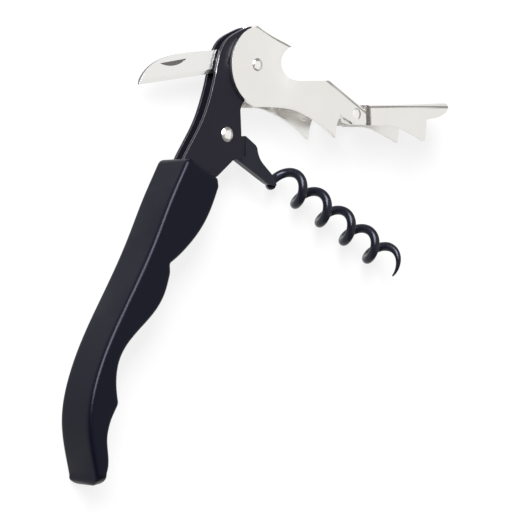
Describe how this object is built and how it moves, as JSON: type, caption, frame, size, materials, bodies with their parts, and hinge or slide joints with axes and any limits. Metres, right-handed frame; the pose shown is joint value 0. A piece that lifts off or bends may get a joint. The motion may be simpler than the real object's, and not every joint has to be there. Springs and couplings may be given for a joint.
{
  "type": "waiter's corkscrew",
  "caption": "Double-hinged waiter's corkscrew with black grip, foil cutter, coated worm and a bright stepped boot lever, laid open on its side.",
  "frame": {"origin": "centre of the bounding box's bottom face, on the surface that the tool lies on, in the pose with everything open", "axes": "+Z along every pivot, up from the surface; +Y along the grip towards the head; +X along the open worm"},
  "size_m": [0.0898, 0.129, 0.0112],
  "materials": {
    "grip_plastic": "satin",
    "black_paint": "satin",
    "black_coating": "semi-gloss",
    "nickel_steel": "satin",
    "blade_steel": "satin",
    "bright_steel": "polished"
  },
  "bodies": {
    "handle": {"frame_channel": "black_paint", "grip": "grip_plastic", "knife_pin": "black_paint", "knife_washers": "bright_steel", "lever_rivet": "bright_steel", "lever_bush": "bright_steel", "worm_rivet": "bright_steel"},
    "knife": {"knife_blade": "blade_steel"},
    "boot_lever": {"boot_lever": "nickel_steel", "end_rivet": "bright_steel"},
    "end_lever": {"end_lever": "nickel_steel"},
    "worm": {"worm": "black_coating", "worm_shank": "black_coating"}
  },
  "joints": [
    {"name": "knife_hinge", "type": "hinge", "parent": "handle", "child": "knife", "pos_m": [-0.02638, 0.0373, 0.0056], "axis": [0, 0, 1], "range_deg": [-55, 50]},
    {"name": "boot_lever_hinge", "type": "hinge", "parent": "handle", "child": "boot_lever", "pos_m": [-0.01898, 0.0409, 0.0056], "axis": [0, 0, 1], "range_deg": [-87, 0]},
    {"name": "worm_hinge", "type": "hinge", "parent": "handle", "child": "worm", "pos_m": [-0.01828, 0.0226, 0.0056], "axis": [0, 0, 1], "range_deg": [-90, 0]},
    {"name": "end_lever_hinge", "type": "hinge", "parent": "boot_lever", "child": "end_lever", "pos_m": [0.01169, 0.04609, 0.0056], "axis": [0, 0, 1], "range_deg": [-35.3, 60]}
  ],
  "couplings": [
    {"joint": "worm_hinge", "follows": "boot_lever_hinge", "ratio": 1.0344}
  ]
}
